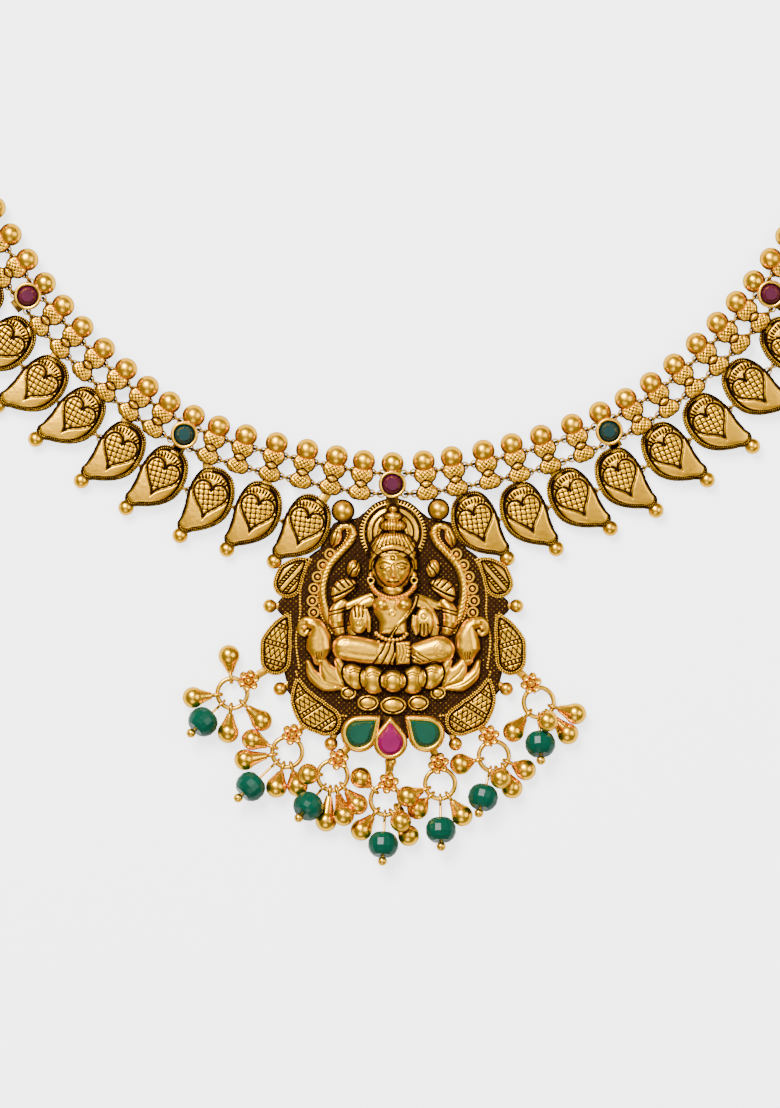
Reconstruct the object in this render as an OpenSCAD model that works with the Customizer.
// Temple jewellery necklace in antique gold finish, lying open on a table.
// Millimetres. The table is z = 0, the middle of the plaque's back is the origin,
// +X is the wearer's left side as the viewer sees it and +Y points to the neck.
// A collar of hourglass links carries a row of paisley drops and a cast goddess plaque.

/* [Collar] */
// Distance between neighbouring balls, along the row of balls
link_pitch = 4.12; // [4.0:0.02:4.3]
// Links on each side of the middle one
links_side = 17; // [17:1:18]
// Diameter of the polished ball at the inner edge of a link
ball_d = 3.1; // [2.6:0.1:3.4]
// Length of a link's body, across the collar
body_l = 5.1; // [4.8:0.1:5.4]
// Width of a link's two pillows, along the collar
pillow_w = 3.1; // [2.6:0.1:3.3]
// Length of each pillow, across the collar
pillow_l = 2.2; // [1.8:0.1:2.4]
// How far the pillows stand above the bar that they are soldered to
pillow_rise = 1.0; // [0.8:0.1:1.4]
// Width of the bar under a link's body
spine_w = 1.8; // [1.4:0.1:2.0]

/* [Jump rings] */
// Radius of a collar jump ring, to the middle of its wire
jump_r = 0.68; // [0.66:0.01:0.74]
// Wire of a collar jump ring
jump_wire = 0.4; // [0.3:0.05:0.44]
// Metal round the hole of a link's flat eye
eye_wall = 0.25; // [0.2:0.01:0.26]
// Thickness of a link's flat eye
eye_t = 0.3; // [0.25:0.05:0.5]
// Running gap between a ring and what it goes through
fit_gap = 0.15; // [0.12:0.01:0.17]

/* [Bezels and stones] */
// Outer diameter of a round bezel
bezel_d = 3.9; // [3.6:0.1:4.0]
// Diameter of a round stone at its girdle
stone_d = 2.7; // [2.3:0.1:2.8]
// Height of a round stone above its bezel's rim
stone_rise = 0.55; // [0.3:0.05:0.8]
// Gap between a stone and its setting
stone_gap = 0.1; // [0.1:0.01:0.14]

/* [Paisleys] */
// Radius of a paisley's round end
mango_r = 3.1; // [2.8:0.05:3.15]
// Distance from the heart's middle to the ball on the tail
tail_l = 6.4; // [6.2:0.1:6.6]
// Sideways bend of the tail, in degrees at the heart
tail_bend = 20; // [18:1:22]
// Radius of the ball on the tail
tail_ball_r = 1.1; // [0.9:0.05:1.2]
// Thickness of a paisley's plate
mango_t = 2.4; // [2.3:0.1:2.8]
// Width of a paisley's beaded rim
mango_rim = 0.75; // [0.6:0.05:0.9]
// Height of each raised step on a paisley
mango_step = 0.3; // [0.2:0.05:0.4]
// Width of the soldered tab that joins a paisley to its link
tab_w = 1.4; // [1.0:0.1:1.8]

/* [Plaque] */
// Width of the plaque over its side leaves
plaque_w = 38; // [37.4:0.2:39]
// Height of the plaque from its top balls to its lowest pellets
plaque_h = 36.8; // [36.4:0.2:37.4]
// Thickness of the plaque's flat ground
ground_t = 1.5; // [1.2:0.1:1.6]
// Height of the goddess's deepest relief above the ground
figure_rise = 3.2; // [2.6:0.1:3.8]
// Outer radius of a flower stud
flower_r = 1.5; // [1.3:0.05:1.6]

/* [Drop clusters] */
// Radius of a cluster ring, to the middle of its wire
cluster_r = 2.1; // [2.0:0.05:2.2]
// Wire of a cluster ring
cluster_wire = 0.5; // [0.4:0.05:0.55]
// Radius of a drop's loop, to the middle of its wire
loop_r = 0.75; // [0.7:0.05:0.8]
// Wire of a drop's loop and of a headpin
loop_wire = 0.4; // [0.3:0.05:0.4]
// Radius of a gold drop's ball
drop_r = 1.4; // [1.2:0.05:1.42]
// Radius of a green cut bead
bead_r = 2.1; // [1.9:0.05:2.12]
// Length of a green cut bead along its hole
bead_l = 3.2; // [2.8:0.1:3.3]
// Radius of the ball at a headpin's end
pin_ball_r = 0.65; // [0.5:0.05:0.75]

/* [Back chain] */
// Wire of the chain
chain_wire = 0.8; // [0.6:0.05:0.9]
// Half width of a chain link, to the middle of its wire
chain_half_w = 1.4; // [1.3:0.05:1.6]
// Chain links on each side of the hook
chain_links = 21; // [20:1:22]
// Half length of the hook, to the middle of its end wires
hook_half_l = 5.6; // [5:0.2:6.4]

/* [Hidden] */
$fn = 64;

// Route of the row of balls: a closed loop from the middle, round by the right
route = [
    [0, 23.05], [12.8, 24.8], [25.3, 28.5], [36.2, 34.3], [45.5, 42.7], [53, 51.7],
    [59.3, 62.2], [63.5, 74], [65, 86.5], [64, 99.5], [60.5, 111.5], [55, 123],
    [47, 133], [37, 141.5], [25.5, 147.5], [13.5, 151], [0.5, 152.5], [-12, 151],
    [-24, 147.5], [-35.5, 141.5], [-45.5, 133], [-53, 123], [-59, 111.5],
    [-62.5, 99], [-63.5, 86.5], [-61.5, 73.5], [-57.4, 62.1], [-51.1, 51.5],
    [-43.4, 42.1], [-33.7, 33.3], [-24.6, 28.3], [-11.9, 24.9]
];
steps_per_span = 10;

// How far each link lies from even spacing, from the middle outward
slack_left = [0.1, 0.35, 0.25, 0, -0.3, -0.2, 0.1, 0.35, 0.7, 0.9, 0.8, 0.65, 0.75, 0.8, 0.8, 0.7, 0.45];
slack_right = [0.25, 0.1, 0.5, 0.45, 0.6, 1.1, 1.25, 1.2, 1.25, 1.3, 1.5, 1.5, 1.35, 1, 0.8, 0.55, 0.4];

// Paisleys from the middle outward: link, shift along, distance out, turn
paisleys_left = [
    [-2, -2.4, 10.6, -10], [-4, -0.6, 10.3, -6], [-6, 2.2, 10.1, 2], [-7, -0.5, 9.8, -3],
    [-9, 2.2, 9.9, 5], [-10, -0.9, 9.7, 0], [-12, 1.6, 10.1, 3], [-13, -1.2, 9.8, 1],
    [-15, 0.4, 9.8, 0], [-16, -2.3, 9.8, 0]
];
paisleys_right = [
    [2, 1.88, 9.8, 11], [4, -0.5, 10, 7], [5, 1.9, 9.9, 13], [7, -1.2, 9.8, 2],
    [8, 1.6, 9.7, 5], [10, -1.3, 9.8, 0], [11, 1.2, 9.9, -1], [13, 0.4, 9.8, 0],
    [15, -0.6, 9.8, 0], [16, 2.2, 9.8, 0]
];
// Edge of a right-hand paisley from the top clockwise, drawn for a radius of mango_unit
mango_unit = 3.1;
mango_line = [
    [0.8, 4.15], [2.2, 3.3], [2.85, 1.7], [2.8, -0.2], [2.35, -2.1], [2.55, -3.6],
    [3.05, -4.7], [2.3, -5.6], [1.4, -5.5], [0.8, -4.95], [-0.42, -4.25], [-1.97, -3.1],
    [-3, -1.62], [-3.4, 0.08], [-3.07, 1.9], [-2.2, 3.35], [-0.75, 4.15]
];
shown_paisleys = 8;

// Clusters: flower place in percent of the half plaque, where its tab lands,
// and the ring's middle measured from the flower in millimetres
cluster_table = [
    [[-106, -40], [-90, -30], [-2.3, -1.8]], [[-74, -81], [-60, -70], [-0.7, -2.5]],
    [[-40, -100], [-34.7, -93.3], [-0.8, -2.3]], [[-3, -118], [-2.3, -103.5], [-0.4, -2.4]],
    [[34, -103], [31.1, -95.7], [0.2, -2.9]], [[71, -82], [62, -72], [0.7, -2.9]],
    [[102, -42], [90, -30], [1.1, -2.7]]
];
// Gold drops: cluster, bearing of the loop on the ring, bearing of the ball, distance, height
drop_table = [
    [0, 95, 95, 5.3, 1.42], [0, 186, 186, 5.5, 1.42], [0, 264, 264, 5.5, 1.42],
    [0, 317, 317, 5.6, 1.42],
    [1, 160, 160, 5.2, 1.42], [1, 190, 190, 6, 1.42], [1, 253, 253, 5.1, 1.42],
    [1, 287, 287, 4.9, 1.42],
    [2, 175, 175, 3.4, 3.5], [2, 260, 262, 6.4, 1.42], [2, 287, 286, 5.7, 3.1],
    [2, 314, 311, 5.3, 1.42],
    [3, 138, 138, 4.7, 1.42], [3, 231, 231, 5.4, 1.42], [3, 298, 303, 5.9, 1.42],
    [3, 327, 306, 3.6, 3.5],
    [4, 200, 200, 4.9, 3.3], [4, 231, 228, 4.7, 1.42], [4, 305, 305, 5.4, 1.42],
    [5, 193, 193, 4.8, 1.42], [5, 282, 287, 3.1, 3.7], [5, 310, 300, 5.1, 1.42],
    [5, 338, 337, 4.8, 1.42],
    [6, 227, 229, 5.4, 1.42], [6, 294, 295, 2.8, 3.9], [6, 313, 313, 6, 1.42],
    [6, 343, 343, 5.4, 1.42]
];
// Green beads: cluster, bearing, distance from the ring's middle, height of the middle
bead_table = [
    [0, 224, 5.7, 2.2], [1, 223, 7, 2.2], [2, 231, 5.4, 2.9], [3, 267, 6.2, 2.2],
    [4, 271, 6.4, 2.2], [5, 255, 5.9, 2.3], [6, 272, 5.8, 2.3]
];

body_start = 0.4;
body_end = body_start + body_l;
row_upper = body_start + pillow_l / 2;
row_lower = body_end - pillow_l / 2;
body_mid = (body_start + body_end) / 2;
spine_in = 0.4;
jump_z = jump_r + jump_wire / 2 + 0.02;
deck_z = jump_z + jump_r + jump_wire / 2 + fit_gap;
hole_r = jump_wire / 2 + fit_gap;
eye_r = hole_r + eye_wall;
arm_w = 2 * eye_r - 0.3;
notch_r = jump_r + eye_r + 0.1;
ball_z = deck_z + 0.4;
seat = 0.2;
cup_floor = deck_z + 0.35;
cup_top = cup_floor + 1.05;
stone_r = stone_d / 2;
bezel_step = 7;
cluster_z = loop_r + loop_wire / 2 + 0.05;
loop_out = loop_r - (cluster_wire + loop_wire) / 2 - fit_gap;
flower_z = cluster_z + cluster_wire / 2 + fit_gap;
bore_r = loop_wire / 2 + fit_gap;
tilt = 45;
gold = [0.85, 0.66, 0.3];
dark_gold = [0.55, 0.4, 0.2];
green = [0, 0.4, 0.3];
ruby = [0.65, 0.08, 0.4];

// Smooth closed curve through the route's points, and places along it
spans = len(route);
function blend(a, b, c, d, t) =
    0.5 * (2 * b + (c - a) * t + (2 * a - 5 * b + 4 * c - d) * t * t
    + (3 * b - a - 3 * c + d) * t * t * t);
function corner(i) = route[(i + spans) % spans];
track = [for (i = [0:spans - 1], k = [0:steps_per_span - 1])
    blend(corner(i - 1), corner(i), corner(i + 1), corner(i + 2), k / steps_per_span)];
track_n = len(track);
reach = [for (i = 0, s = 0; i <= track_n;
    s = s + norm(track[(i + 1) % track_n] - track[i % track_n]), i = i + 1) s];
loop_length = reach[track_n];
track_x = [for (i = [0:track_n]) [reach[i], track[i % track_n][0]]];
track_y = [for (i = [0:track_n]) [reach[i], track[i % track_n][1]]];
function wrap(s) = s < 0 ? s + loop_length : s;
function at(s) = [lookup(wrap(s), track_x), lookup(wrap(s), track_y)];
function along(s) = let (d = at(s + 0.6) - at(s - 0.6)) d / norm(d);
function outward(s) = let (a = along(s)) [a[1], -a[0]];
function place(s, u, v) = at(s) + along(s) * u + outward(s) * v;
function angle_of(d) = atan2(d[1], d[0]);
function turned(d, a) = [d[0] * cos(a) - d[1] * sin(a), d[0] * sin(a) + d[1] * cos(a)];
function unit(d) = d / norm(d);
function slack(i) = i == 0 ? 0 : i < 0 ? slack_left[min(-i, len(slack_left)) - 1]
    : slack_right[min(i, len(slack_right)) - 1];
function link_s(i) = i * link_pitch + slack(i);
function sgn(i) = i < 0 ? -1 : 1;

// Places on the plaque, in percent of its half width and half height
function on_plaque(p) = [p[0] * plaque_w / 200, p[1] * plaque_h / 200];
function share(r) = r * plaque_w / 200;

module at_link(i) {
    translate(at(link_s(i))) rotate(angle_of(along(link_s(i)))) children();
}

// Flat eye whose hole takes a jump ring, with an arm back to the link
module flat_eye(hole, inner) {
    d = inner - hole;
    translate([hole[0], hole[1], jump_z - eye_t / 2]) rotate(angle_of(d))
        difference() {
            union() {
                cylinder(r = eye_r, h = eye_t);
                translate([0, -arm_w / 2, 0]) cube([norm(d), arm_w, eye_t]);
            }
            translate([0, 0, -1]) cylinder(r = hole_r, h = eye_t + 2);
        }
}

// The four eyes of link i; an end bar has them on one side only
module link_eyes(i, sides) {
    for (side = sides, v = [row_upper, row_lower]) {
        here = place(link_s(i), 0, v);
        there = place(link_s(i + side), 0, v);
        middle = (here + there) / 2;
        toward = unit(here - there);
        flat_eye(middle + toward * jump_r, here - toward * spine_w / 4);
    }
}

module spine() {
    translate([-spine_w / 2, -body_end, 0]) cube([spine_w, body_end + spine_in, deck_z + seat]);
}

module pillow(v) {
    dome_r = norm([pillow_w, pillow_l]) / 2 + 0.1;
    top = deck_z + pillow_rise;
    intersection() {
        translate([0, -v, top - dome_r]) sphere(r = dome_r);
        translate([-pillow_w / 2, -v - pillow_l / 2, deck_z]) cube([pillow_w, pillow_l, pillow_rise + 1]);
    }
}

module link_ball() {
    translate([0, 0, ball_z]) sphere(d = ball_d);
}

// Plain collar link: a ball, two pillows and a small dome at the waist
module plain_link(i) {
    at_link(i) {
        spine();
        pillow(row_upper);
        pillow(row_lower);
        translate([0, -body_mid, deck_z]) sphere(r = spine_w / 2 - 0.1);
        link_ball();
    }
    link_eyes(i, [-1, 1]);
}

// Every seventh link carries a round bezel
module bezel_link(i) {
    at_link(i) {
        spine();
        link_ball();
        translate([0, -body_mid, deck_z]) difference() {
            cylinder(d = bezel_d, h = cup_top - deck_z);
            translate([0, 0, cup_floor - deck_z]) cylinder(r = stone_r + stone_gap, h = 3);
        }
    }
    link_eyes(i, [-1, 1]);
}

module any_link(i) {
    if (i % bezel_step == 0) bezel_link(i);
    else plain_link(i);
}

// Round stone with a twelve-sided girdle and a table
module round_stone(i, tint) {
    low = cup_floor + stone_gap;
    girdle = cup_top - 0.2;
    color(tint) at_link(i) translate([0, -body_mid, 0]) union() {
        translate([0, 0, low]) cylinder(r1 = stone_r * 0.7, r2 = stone_r, h = girdle - low, $fn = 12);
        translate([0, 0, girdle])
            cylinder(r1 = stone_r, r2 = stone_r * 0.62, h = cup_top + stone_rise - girdle, $fn = 12);
    }
}

module ring_between(a, b) {
    middle = (a + b) / 2;
    translate([middle[0], middle[1], jump_z]) rotate(angle_of(b - a)) rotate([90, 0, 0])
        rotate_extrude() translate([jump_r, 0]) circle(d = jump_wire);
}

// Two jump rings in each gap of one side of the collar, the end bar's gap among them
module jump_rings(side) {
    color(dark_gold) for (i = [0:links_side], v = [row_upper, row_lower])
        ring_between(place(link_s(side * i), 0, v), place(link_s(side * (i + 1)), 0, v));
}

function has_paisley(i) = len([for (r = concat(paisleys_left, paisleys_right)) if (r[0] == i) 1]) > 0;

module collar_links(side) {
    color(gold) for (i = [1:links_side])
        if (i % bezel_step != 0 && !has_paisley(side * i)) plain_link(side * i);
}

// Paisley outline: a round body and a tail bent sideways, drawn smaller by k
knots = len(mango_line);
function knot(j) = mango_line[(j + knots) % knots];
module paisley_2d(k, m) {
    shrink = (mango_r - k) / mango_unit;
    polygon([for (j = [0:knots - 1], t = [0, 1 / 3, 2 / 3])
        let (p = blend(knot(j - 1), knot(j), knot(j + 1), knot(j + 2), t)) [m * p[0], p[1]] * shrink]);
}

module heart_2d() {
    r = mango_r * 0.4;
    translate([r * 0.88, r * 0.6]) circle(r = r);
    translate([-r * 0.88, r * 0.6]) circle(r = r);
    polygon([[-r * 1.78, r * 0.25], [0, -r * 2.1], [r * 1.78, r * 0.25], [0, r * 1.2]]);
}

function heart(row) = place(link_s(row[0]), row[1], row[2]);

// Notch under a paisley's edge for the side ring, and the eye inside it
module side_notch(own, other) {
    middle = (own + other) / 2;
    translate([middle[0], middle[1], -1]) cylinder(r = notch_r, h = deck_z + 1);
}

module side_eye(own, other) {
    middle = (own + other) / 2;
    hole = middle + unit(own - other) * jump_r;
    flat_eye(hole, hole + unit(own - other) * (notch_r - jump_r + 0.6));
}

// One paisley, its tab and the link that it hangs from are soldered together
module paisley(rows, k) {
    row = rows[k];
    own = heart(row);
    m = sgn(row[0]);
    near = [for (j = [k - 1, k + 1]) if (j >= 0 && j < len(rows)) heart(rows[j])];
    root = place(link_s(row[0]), 0, body_end - 0.6);
    tab = own - root;
    facing = angle_of(along(link_s(row[0]))) + row[3];
    color(gold) union() {
        any_link(row[0]);
        difference() {
            union() {
                translate([root[0], root[1], seat]) rotate(angle_of(tab))
                    translate([0, -tab_w / 2, 0]) cube([norm(tab) - 1, tab_w, deck_z - seat]);
                translate([own[0], own[1], 0]) rotate(facing)
                    linear_extrude(mango_t) paisley_2d(0, m);
            }
            for (p = near) side_notch(own, p);
        }
        translate([own[0], own[1], mango_t - seat]) rotate(facing) {
            linear_extrude(seat + mango_step) paisley_2d(mango_rim, m);
            linear_extrude(seat + 2 * mango_step) heart_2d();
        }
        translate([own[0], own[1], 0]) rotate(facing)
            translate([m * tail_l * sin(tail_bend), -tail_l * cos(tail_bend), tail_ball_r + 0.1])
                sphere(r = tail_ball_r);
        for (p = near) side_eye(own, p);
    }
}

module paisleys_rear(rows) {
    for (k = [shown_paisleys:len(rows) - 1]) paisley(rows, k);
}

module side_rings(rows) {
    color(dark_gold) for (k = [0:len(rows) - 2]) ring_between(heart(rows[k]), heart(rows[k + 1]));
}

// End bar past the last link, with a soldered ring for the chain
bar_l = 5;
eye_ring_r = chain_half_w;
bar_eye_v = body_mid;
function bar_s(side) = link_s(side * (links_side + 1));

module wire_ring(r, wire) {
    rotate_extrude() translate([r, 0]) circle(d = wire);
}

module end_bar(side) {
    s = bar_s(side);
    color(gold) {
        link_eyes(side * (links_side + 1), [-side]);
        translate(at(s)) rotate(angle_of(along(s))) union() {
            translate([-spine_w / 2, -body_end, 0])
                cube([spine_w, body_end - body_start, deck_z]);
            linear_extrude(deck_z) polygon([
                [0, -body_start - 0.4], [side * bar_l / 2, -bar_eye_v + 0.7],
                [side * bar_l / 2, -bar_eye_v - 0.7], [0, -body_end + 0.4]]);
        }
        chain_part(side, 0) wire_ring(eye_ring_r, chain_wire);
    }
}

// Chain: element 0 is the end bar's ring, the last one is the hook
clear_pull = 2 * (chain_wire / 2) + 0.2;
run_scale = 1.045;
function chain_start(side) = abs(bar_s(side)) + bar_l / 2 + eye_ring_r - chain_wire / 2;
function chain_run(side) = (loop_length / 2 - chain_start(side)) * run_scale;
function chain_pitch(side) = (chain_run(side) - eye_ring_r - hook_half_l + clear_pull) / chain_links;
function chain_half_l(side) = (chain_pitch(side) + clear_pull) / 2;
function chain_s(side, j) = side * (chain_start(side) + (j == 0 ? 0 :
    (eye_ring_r + chain_half_l(side) - clear_pull + (j - 1) * chain_pitch(side)) / run_scale));

module chain_part(side, j) {
    s = chain_s(side, j);
    p = place(s, 0, bar_eye_v);
    translate([p[0], p[1], chain_z]) rotate(angle_of(along(s)))
        rotate([(j % 2 == 0 ? -1 : 1) * tilt, 0, 0]) children();
}
chain_z = (chain_half_w + 0.05) * sin(tilt) + chain_wire / 2;

module chain_link(half_l) {
    straight = half_l - chain_half_w;
    for (e = [-1, 1]) {
        translate([e * straight, 0, 0]) rotate(e * 90 - 180)
            rotate_extrude(angle = 180) translate([chain_half_w, 0]) circle(d = chain_wire);
        translate([-straight, e * chain_half_w, 0]) rotate([0, 90, 0])
            cylinder(d = chain_wire, h = 2 * straight);
    }
}

module back_chain(side) {
    color(gold) for (j = [1:chain_links]) chain_part(side, j) chain_link(chain_half_l(side));
}

// Plain hook of bent wire: a closed eye on the left, an open hook on the right
module clasp_hook() {
    s = loop_length / 2;
    p = place(s, 0, bar_eye_v);
    end = hook_half_l - chain_half_w;
    color(gold) translate([p[0], p[1], chain_z]) rotate(angle_of(along(s)))
        rotate([(chain_links % 2 == 0 ? 1 : -1) * tilt, 0, 0]) {
            translate([end, 0, 0]) wire_ring(chain_half_w, chain_wire);
            translate([-end, 0, 0]) rotate(40)
                rotate_extrude(angle = 230) translate([chain_half_w, 0]) circle(d = chain_wire);
            translate([-end, -chain_half_w, 0]) rotate([0, 90, 0])
                cylinder(d = chain_wire + 0.1, h = 2 * end);
        }
}

// Simple shapes of the cast relief
module dome(p, r, z, rise, sides = 8) {
    q = on_plaque(p);
    translate([q[0], q[1], z]) scale([1, 1, rise / r]) sphere(r = r, $fn = sides);
}

module limb(a, b, ra, rb, za, zb, sides = 7) {
    pa = on_plaque(a);
    pb = on_plaque(b);
    hull() {
        translate([pa[0], pa[1], za]) sphere(r = ra, $fn = sides);
        translate([pb[0], pb[1], zb]) sphere(r = rb, $fn = sides);
    }
}

module petal(p, length, width, turn, z, rise) {
    q = on_plaque(p);
    translate([q[0], q[1], z]) rotate(turn) scale([width / 2, length / 2, rise]) sphere(r = 1, $fn = 8);
}

module leaf_2d(tip, eye, r) {
    hull() {
        translate(on_plaque(eye)) circle(r = r, $fn = 16);
        translate(on_plaque(tip)) circle(r = 0.35, $fn = 6);
    }
}

// A leaf motif has a beaded rim, a raised field and two cross bands
module leaf_motif(tip, eye, r) {
    linear_extrude(ground_t + 0.8) leaf_2d(tip, eye, r);
    linear_extrude(ground_t + 1.3) leaf_2d(tip * 0.85 + eye * 0.15, eye, r - 0.65);
    a = on_plaque(tip);
    b = on_plaque(eye);
    for (t = [0.45, 0.8]) {
        c = a + (b - a) * t;
        translate([c[0], c[1], 0]) rotate(angle_of(b - a))
            translate([-0.35, -r * (0.3 + 0.45 * t), 0]) cube([0.7, r * (0.6 + 0.9 * t), ground_t + 1.6]);
    }
}

ground_half = [
    [0, 66], [24, 62], [30, 80], [40, 72], [50, 60], [60, 50], [66, 40], [70, 16], [66, 4],
    [70, -10], [72, -28], [64, -38], [56, -56], [44, -80], [20, -88], [0, -98]
];

module ground() {
    linear_extrude(ground_t) {
        for (m = [-1, 1]) polygon([for (p = ground_half) on_plaque([m * p[0], p[1]])]);
        translate(on_plaque([0, 72])) circle(r = share(25), $fn = 30);
    }
}

module halo() {
    q = on_plaque([0, 72]);
    translate([q[0], q[1], 0]) {
        cylinder(r = share(17), h = ground_t + 0.7, $fn = 24);
        for (a = [9:18:351]) rotate(a) translate([share(22.5), 0, ground_t]) sphere(r = 0.62, $fn = 6);
    }
}

// The arch is a rope: beads strung along its line, with a curl and a leaf on top
arch_half = [[41, -3], [50, 12], [53, 27], [51, 39], [46.5, 49], [38.5, 58], [32.5, 65], [29, 71], [34, 77]];

module arch(m) {
    for (i = [0:len(arch_half) - 2]) {
        a = arch_half[i];
        b = arch_half[i + 1];
        limb([m * a[0], a[1]], [m * b[0], b[1]], 0.62, 0.62, ground_t + 0.5, ground_t + 0.5, 6);
    }
    petal([m * 41, 69], 3, 1.9, m * -20, ground_t, 1.2);
    dome([m * 35.5, 89.5], share(8.5), ground_t + 0.4, share(8.5), 12);
    limb([m * 35.5, 89.5], [m * 35, 76], 0.9, 0.7, ground_t - 0.4, ground_t - 0.4, 6);
}

disc_half = [[46, 56.5], [51, 48.5], [55, 40], [58.5, 31], [60, 22], [59.5, 12.5]];

module side_discs(m) {
    for (p = disc_half) {
        q = on_plaque([m * p[0], p[1]]);
        translate([q[0], q[1], 0]) cylinder(r = share(4.6), h = ground_t + 0.7, $fn = 8);
        translate([q[0], q[1], ground_t + 0.6]) sphere(r = 0.42, $fn = 6);
    }
}

module peacock(m) {
    limb([m * 60, 5], [m * 55, -12], 0.9, 1.4, ground_t + 0.3, ground_t + 0.4);
    limb([m * 55, -12], [m * 56, -24], 1.4, 0.5, ground_t + 0.4, ground_t + 0.2);
    limb([m * 60, 5], [m * 67, 1], 0.75, 0.6, ground_t + 0.4, ground_t + 0.4, 6);
}

// Seated figure: legs, body, four arms, head and a tiered crown
module figure() {
    z = ground_t;
    deep = figure_rise;
    for (m = [-1, 1]) {
        limb([m * 12, -16], [m * 34, -18], 1.55, 1.5, z + 0.6, z + 0.7, 10);
        limb([m * 34, -18], [m * 40, -12], 1.5, 1, z + 0.7, z + 0.5);
        limb([m * 13, 25], [m * 31, 10], 1, 1.05, z + deep * 0.35, z + 0.6);
        limb([m * 31, 10], [m * 37, 0], 1.05, 0.9, z + 0.6, z + 0.5);
        limb([m * 31, 12], [m * 24, 6], 0.9, 0.9, z + 0.6, z + 1.3);
        petal([m * 24, 6], 4, 2.5, m * -6, z + 1.3, 1);
        limb([m * 14, 27], [m * 39, 22], 0.9, 1, z + 0.4, z + 0.4);
        limb([m * 39, 22], [m * 31, 35], 1, 0.9, z + 0.4, z + 0.7);
        dome([m * 29, 45], 1.25, z + 0.7, 1.3);
        dome([m * 8.5, 20], 1.2, z + deep * 0.45, 1.25, 10);
        limb([m * 15.5, 37], [m * 15.5, 38], 0.6, 0.55, z + 0.2, z + deep * 0.4, 6);
    }
    limb([-9, 24], [9, 24], 1.2, 1.2, z + deep * 0.32, z + deep * 0.32);
    hull() {
        dome([0, 22], 2.2, z + deep * 0.2, deep * 0.45, 12);
        dome([0, -4], 1.7, z + deep * 0.15, deep * 0.42, 12);
    }
    petal([5, -18], 4.6, 2.6, 20, z + 0.9, 1.1);
    limb([-13, 27], [13, 27], 0.7, 0.7, z + deep * 0.42, z + deep * 0.42, 6);
    dome([0, 33], 1.3, z + deep * 0.3, deep * 0.4, 10);
    dome([0, 46], 2.5, z + deep * 0.36, deep * 0.62, 14);
    limb([0, 47], [0, 44], 0.22, 0.32, z + deep * 0.95, z + deep * 0.97, 6);
    hull() {
        dome([0, 60], 2.9, z + deep * 0.3, deep * 0.45, 12);
        dome([0, 66], 2.2, z + deep * 0.25, deep * 0.4, 12);
    }
    hull() {
        dome([0, 72], 1.6, z + deep * 0.2, deep * 0.42, 10);
        dome([0, 82], 0.9, z + 0.3, deep * 0.4, 10);
    }
    dome([0, 89], 0.75, z + 0.3, 1.4, 8);
}

module lotus_seat() {
    z = ground_t;
    for (p = [[0, -40, 3.3], [14.5, -38.5, 2.8], [28, -35.5, 2.6], [-14.5, -38.5, 2.8], [-28, -35.5, 2.6]])
        petal([p[0], p[1]], p[2], p[2], 0, z + 0.2, 1.4);
    for (m = [-1, 1]) {
        limb([m * 62, -25], [m * 52, -37], 0.45, 0.9, z + 0.3, z + 0.5, 8);
        limb([m * 52, -37], [m * 39, -44], 0.9, 0.7, z + 0.5, z + 0.3, 8);
        petal([m * 18.5, -56.5], 2.3, 2.8, 0, z + 0.2, 1.2);
        petal([m * 32, -49.5], 2.1, 2.3, 0, z + 0.2, 1.2);
    }
    petal([0, -58.5], 2.6, 3.5, 0, z + 0.2, 1.4);
}

module pear_2d(k) {
    hull() {
        circle(r = pear_r - k, $fn = 16);
        translate([0, pear_point - k * 1.4]) circle(r = 0.25, $fn = 6);
    }
}
pear_r = 2.05;
pear_point = 2.9;
pear_rim = 0.55;
pear_floor = ground_t + 0.3;
pear_top = ground_t + 1.6;
// Pears: place in percent of the half plaque, turn of the point, tint
pear_table = [[[-24.5, -80.5], -50, green], [[-1.5, -87], 0, ruby], [[25, -80.5], 50, green]];

module at_pear(i) {
    q = on_plaque(pear_table[i][0]);
    translate([q[0], q[1], 0]) rotate(pear_table[i][1]) children();
}

module pear_bezels() {
    difference() {
        for (i = [0:2]) at_pear(i) linear_extrude(pear_top) pear_2d(-pear_rim);
        for (i = [0:2]) at_pear(i) translate([0, 0, pear_floor]) linear_extrude(5) pear_2d(-stone_gap);
    }
}

module pear_stone(i) {
    low = pear_floor + stone_gap;
    color(pear_table[i][2]) at_pear(i) {
        hull() {
            translate([0, 0, low]) linear_extrude(0.01) pear_2d(0.35);
            translate([0, 0, pear_top - 0.3]) linear_extrude(0.01) pear_2d(0);
        }
        hull() {
            translate([0, 0, pear_top - 0.31]) linear_extrude(0.01) pear_2d(0);
            translate([0, 0, pear_top + 0.6]) linear_extrude(0.01) pear_2d(0.75);
        }
    }
}

function ring_middle(c) = on_plaque(cluster_table[c][0]) + cluster_table[c][2];

// A tab is rooted in the plaque's edge, and the lowest stud's tab in the rim of the middle pear
foot_stud = 3;
root_out = 0.43;
function tab_root(c) = c == foot_stud
    ? on_plaque(pear_table[1][0]) - [0, pear_r + pear_rim + root_out]
    : on_plaque(cluster_table[c][1]);

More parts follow.
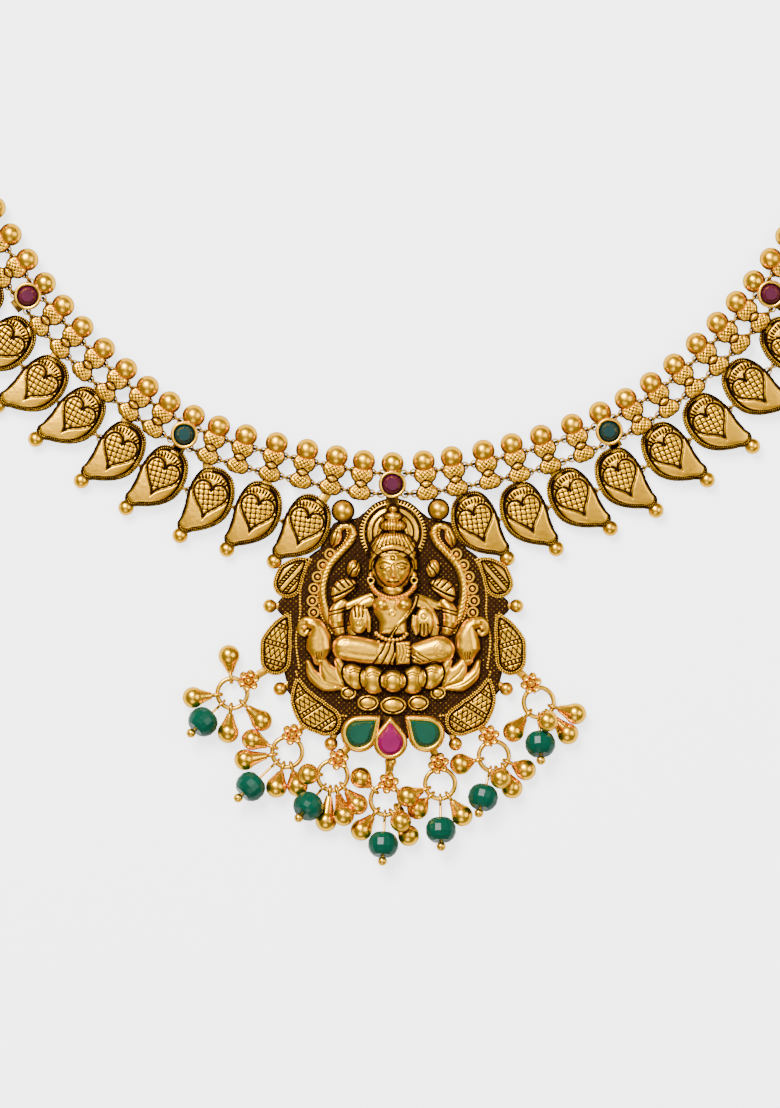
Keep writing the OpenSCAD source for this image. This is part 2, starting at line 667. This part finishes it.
// Flower stud with its tab to the plaque and the eye that the cluster ring goes through
module flower_stud(c) {
    f = on_plaque(cluster_table[c][0]);
    base = tab_root(c);
    to_ring = cluster_table[c][2];
    petal_r = flower_r * 0.36;
    translate([f[0], f[1], flower_z]) {
        linear_extrude(1) {
            circle(r = flower_r * 0.6, $fn = 12);
            for (a = [15:60:315]) rotate(a) translate([flower_r - petal_r, 0]) circle(r = petal_r, $fn = 7);
        }
        translate([0, 0, 1]) sphere(r = flower_r * 0.36, $fn = 8);
    }
    hull() {
        translate([f[0], f[1], flower_z]) cylinder(r = 0.7, h = 0.5, $fn = 6);
        translate([base[0], base[1], ground_t - 0.5]) cylinder(r = 0.9, h = 1.3, $fn = 6);
    }
    e = ring_middle(c) - unit(to_ring) * cluster_r;
    hook_r = cluster_wire / 2 + fit_gap + 0.2;
    translate([e[0], e[1], cluster_z]) rotate(angle_of(to_ring)) rotate([90, 0, 0])
        rotate_extrude($fn = 10) translate([hook_r, 0]) circle(r = 0.2, $fn = 5);
    translate([e[0], e[1], cluster_z + hook_r])
        cylinder(r = 0.3, h = flower_z + 0.3 - cluster_z - hook_r, $fn = 6);
}

pellets = [[-91, 17], [-82, -46], [-47, -88], [91, 17], [82, -46], [44, -88]];
leaf_half = [[[76, 50], [76, 27], 2.4], [[77, 11], [87, -20], 2.35], [[71, -38], [49, -64], 2.6]];

// The cast plaque, the middle bezel link and the flower studs are soldered together
module pendant_plaque() {
    color(gold) {
        ground();
        halo();
        figure();
        lotus_seat();
        pear_bezels();
        for (m = [-1, 1]) {
            arch(m);
            side_discs(m);
            peacock(m);
            for (l = leaf_half) leaf_motif([m * l[0][0], l[0][1]], [m * l[1][0], l[1][1]], l[2]);
        }
        for (p = pellets) dome(p, 0.95, 1.3, 1.35);
        for (p = pellets) limb(p, p * 0.88, 0.7, 0.7, 0.75, 0.75, 6);
        for (c = [0:len(cluster_table) - 1]) flower_stud(c);
        middle_link();
    }
}

// The middle bezel link, drawn with few sides because it is part of the cast mesh
module middle_link() {
    spine_out = on_plaque([0, 90]);
    at_link(0) {
        translate([-spine_w / 2, spine_out[1] - route[0][1], 0])
            cube([spine_w, route[0][1] - spine_out[1] + spine_in, deck_z + seat]);
        translate([0, 0, ball_z]) sphere(d = ball_d, $fn = 14);
        translate([0, -body_mid, deck_z]) difference() {
            cylinder(d = bezel_d, h = cup_top - deck_z, $fn = 18);
            translate([0, 0, cup_floor - deck_z])
                cylinder(r = (stone_r + stone_gap) / cos(180 / 18), h = 3, $fn = 18);
        }
    }
    link_eyes(0, [-1, 1], $fn = 12);
}

module cluster_rings() {
    color(gold) for (c = [0:len(cluster_table) - 1]) {
        q = ring_middle(c);
        translate([q[0], q[1], cluster_z]) wire_ring(cluster_r, cluster_wire);
    }
}

// Turns a piece whose stem is its x axis and whose loop's axis is its y axis
function cross_unit(a, b) = let (c = cross(a, b)) c / norm(c);
module aim(from, stem, ring_line) {
    x = stem / norm(stem);
    z = cross_unit(x, ring_line);
    y = cross(z, x);
    multmatrix([
        [x[0], y[0], z[0], from[0]], [x[1], y[1], z[1], from[1]],
        [x[2], y[2], z[2], from[2]], [0, 0, 0, 1]]) children();
}

function hang_point(c, a) = let (q = ring_middle(c) + (cluster_r + loop_out) * [cos(a), sin(a)])
    [q[0], q[1], cluster_z];

module wire_loop() {
    rotate([90, 0, 0]) wire_ring(loop_r, loop_wire);
}

// Gold drop: a ball with a tapering stem and a loop round the cluster ring
module gold_drop(row) {
    q = ring_middle(row[0]) + row[3] * [cos(row[2]), sin(row[2])];
    from = hang_point(row[0], row[1]);
    stem = [q[0], q[1], row[4]] - from;
    reach_l = norm(stem);
    aim(from, stem, [-sin(row[1]), cos(row[1]), 0]) {
        wire_loop();
        translate([loop_r, 0, 0]) rotate([0, 90, 0])
            cylinder(r1 = loop_wire / 2, r2 = drop_r * 0.72, h = reach_l - loop_r - drop_r * 0.6);
        translate([reach_l, 0, 0]) sphere(r = drop_r);
    }
}

module gold_drops() {
    color(gold) for (row = drop_table) gold_drop(row);
}

function bead_middle(row) = let (q = ring_middle(row[0]) + row[2] * [cos(row[1]), sin(row[1])])
    [q[0], q[1], row[3]];

module along_pin(k) {
    row = bead_table[k];
    from = hang_point(row[0], row[1]);
    aim(from, bead_middle(row) - from, [-sin(row[1]), cos(row[1]), 0]) children();
}

function pin_reach(k) = norm(bead_middle(bead_table[k]) - hang_point(bead_table[k][0], bead_table[k][1]));

// Cut bead with twelve sides, drilled for its headpin
module green_bead(k) {
    color(green) along_pin(k) translate([pin_reach(k), 0, 0]) rotate([0, 90, 0]) difference() {
        rotate_extrude($fn = 12) polygon([
            [0, -bead_l / 2], [bead_r * 0.62, -bead_l / 2], [bead_r, -bead_l * 0.17],
            [bead_r, bead_l * 0.17], [bead_r * 0.62, bead_l / 2], [0, bead_l / 2]]);
        cylinder(r = bore_r, h = bead_l + 2, center = true);
    }
}

module headpins() {
    color(gold) for (k = [0:len(bead_table) - 1]) {
        pin_l = pin_reach(k) + bead_l / 2 + fit_gap;
        along_pin(k) {
            wire_loop();
            translate([loop_r, 0, 0]) rotate([0, 90, 0])
                cylinder(d = loop_wire, h = pin_l + pin_ball_r - loop_r);
            translate([pin_l + pin_ball_r, 0, 0]) sphere(r = pin_ball_r);
        }
    }
}

pendant_plaque();
pear_stone(0);  // pear_stone_left
pear_stone(1);  // pear_stone_middle
pear_stone(2);  // pear_stone_right
collar_links(-1);  // collar_links_left
collar_links(1);  // collar_links_right
jump_rings(-1);  // jump_rings_left
jump_rings(1);  // jump_rings_right
color(gold) bezel_link(-2 * bezel_step);  // bezel_link_left_2
color(gold) bezel_link(2 * bezel_step);  // bezel_link_right_2
round_stone(0, ruby);  // stone_middle
round_stone(-bezel_step, green);  // stone_left_1
round_stone(-2 * bezel_step, ruby);  // stone_left_2
round_stone(bezel_step, green);  // stone_right_1
round_stone(2 * bezel_step, ruby);  // stone_right_2
for (k = [0:shown_paisleys - 1]) {
    paisley(paisleys_left, k);
    paisley(paisleys_right, k);
}
paisleys_rear(paisleys_left);  // paisleys_rear_left
paisleys_rear(paisleys_right);  // paisleys_rear_right
side_rings(paisleys_left);  // side_rings_left
side_rings(paisleys_right);  // side_rings_right
cluster_rings();
gold_drops();
for (k = [0:len(bead_table) - 1])
    green_bead(k);
headpins();
end_bar(-1);  // end_bar_left
end_bar(1);  // end_bar_right
back_chain(-1);  // back_chain_left
back_chain(1);  // back_chain_right
clasp_hook();
